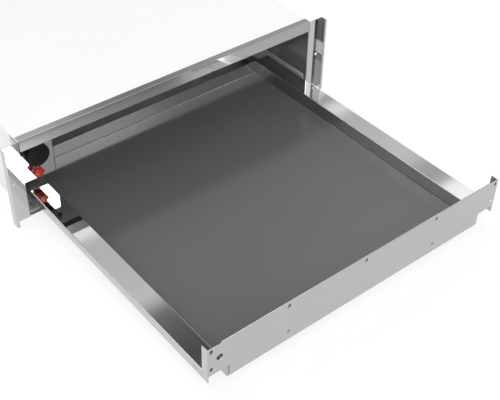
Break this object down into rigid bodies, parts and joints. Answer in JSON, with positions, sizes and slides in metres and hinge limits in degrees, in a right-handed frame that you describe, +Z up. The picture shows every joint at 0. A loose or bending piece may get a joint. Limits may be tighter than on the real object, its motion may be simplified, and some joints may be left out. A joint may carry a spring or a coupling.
{
  "type": "built-in warming drawer",
  "caption": "Built-in warming drawer: steel frame and casing, telescopic tray with a dark warming plate, recessed thermostat and selector knobs, rear fan heater.",
  "frame": {"origin": "middle of the casing's flat underside", "axes": "+X to the right seen from the front, +Y towards the rear of the niche, +Z up"},
  "size_m": [0.596, 0.9779, 0.1383],
  "materials": {
    "polished_steel": "bright polished stainless sheet",
    "zinc_steel": "zinc-coated sheet",
    "white_coat": "satin white powder coat",
    "liner_steel": "smooth stainless sheet",
    "dark_plate": "smooth dark grey easy-clean coating, soft gloss",
    "mineral_wool": "mineral fibre mat",
    "pale_plastic": "heat-resistant moulding",
    "black_plastic": "satin black moulding",
    "red_plastic": "glossy red moulding",
    "brass": "turned",
    "plain_steel": "bright zinc-plated",
    "copper_tube": "drawn copper",
    "motor_steel": "laminated and painted",
    "aluminium": "pressed sheet",
    "heater_sheath": "heat-tinted",
    "ceramic": "steatite",
    "cable_sleeve": "glass-silicone sleeve",
    "rubber": "moulded"
  },
  "bodies": {
    "chassis": {"chassis_floor": "zinc_steel", "left_side_panel": "white_coat", "right_side_panel": "white_coat", "back_panel": "zinc_steel", "top_cover": "white_coat", "ceiling_panel": "liner_steel", "ceiling_insulation": "mineral_wool", "top_rail": "polished_steel", "left_mounting_plate": "polished_steel", "right_mounting_plate": "polished_steel", "control_panel": "polished_steel", "control_box_cover": "zinc_steel", "thermostat_body": "pale_plastic", "thermostat_nut": "brass", "selector_body": "black_plastic", "selector_nut": "brass", "capillary_sensor": "copper_tube", "sensor_clips": "zinc_steel", "fan_baffle": "liner_steel", "fan_motor": "motor_steel", "heater_element": "heater_sheath", "heater_bushings": "ceramic", "heater_clips": "zinc_steel", "thermal_cutout": "black_plastic", "terminal_block": "pale_plastic", "wiring_loom": "cable_sleeve", "cable_gland": "black_plastic", "rear_cover": "zinc_steel", "rear_bumpers": "rubber", "left_slide_bracket": "zinc_steel", "right_slide_bracket": "zinc_steel", "left_outer_rail": "plain_steel", "right_outer_rail": "plain_steel", "chassis_screws": "plain_steel"},
    "drawer": {"tray_pan": "polished_steel", "warming_plate": "dark_plate", "front_plate": "polished_steel", "left_inner_rail": "plain_steel", "right_inner_rail": "plain_steel"},
    "left_slide_middle": {"left_middle_rail": "plain_steel"},
    "right_slide_middle": {"right_middle_rail": "plain_steel"},
    "left_outer_cage": {"left_outer_balls": "plain_steel"},
    "right_outer_cage": {"right_outer_balls": "plain_steel"},
    "left_inner_cage": {"left_inner_balls": "plain_steel"},
    "right_inner_cage": {"right_inner_balls": "plain_steel"},
    "thermostat_dial": {"thermostat_knob": "black_plastic", "thermostat_shaft": "plain_steel"},
    "selector_dial": {"selector_knob": "red_plastic", "selector_shaft": "plain_steel"},
    "fan_wheel": {"fan_impeller": "aluminium", "fan_shaft": "plain_steel"}
  },
  "joints": [
    {"name": "drawer_slide", "type": "slide", "parent": "chassis", "child": "drawer", "axis": [0, 1, 0], "range_m": [0, 0.407]},
    {"name": "left_slide_middle_run", "type": "slide", "parent": "chassis", "child": "left_slide_middle", "axis": [0, 1, 0], "range_m": [0, 0.2035]},
    {"name": "right_slide_middle_run", "type": "slide", "parent": "chassis", "child": "right_slide_middle", "axis": [0, 1, 0], "range_m": [0, 0.2035]},
    {"name": "left_outer_cage_run", "type": "slide", "parent": "chassis", "child": "left_outer_cage", "axis": [0, 1, 0], "range_m": [0, 0.10175]},
    {"name": "right_outer_cage_run", "type": "slide", "parent": "chassis", "child": "right_outer_cage", "axis": [0, 1, 0], "range_m": [0, 0.10175]},
    {"name": "left_inner_cage_run", "type": "slide", "parent": "chassis", "child": "left_inner_cage", "axis": [0, 1, 0], "range_m": [0, 0.30525]},
    {"name": "right_inner_cage_run", "type": "slide", "parent": "chassis", "child": "right_inner_cage", "axis": [0, 1, 0], "range_m": [0, 0.30525]},
    {"name": "thermostat_turn", "type": "hinge", "parent": "chassis", "child": "thermostat_dial", "pos_m": [-0.24, -0.2406, 0.0946], "axis": [0, 1, 0], "range_deg": [0, 270]},
    {"name": "selector_turn", "type": "hinge", "parent": "chassis", "child": "selector_dial", "pos_m": [-0.24, -0.2406, 0.059], "axis": [0, 1, 0], "range_deg": [0, 90]},
    {"name": "fan_spin", "type": "hinge", "parent": "chassis", "child": "fan_wheel", "pos_m": [0, 0.2499, 0.0624], "axis": [0, 1, 0], "continuous": true}
  ],
  "couplings": [
    {"joint": "left_slide_middle_run", "follows": "drawer_slide", "ratio": 0.5},
    {"joint": "right_slide_middle_run", "follows": "drawer_slide", "ratio": 0.5},
    {"joint": "left_outer_cage_run", "follows": "drawer_slide", "ratio": 0.25},
    {"joint": "right_outer_cage_run", "follows": "drawer_slide", "ratio": 0.25},
    {"joint": "left_inner_cage_run", "follows": "drawer_slide", "ratio": 0.75},
    {"joint": "right_inner_cage_run", "follows": "drawer_slide", "ratio": 0.75}
  ]
}
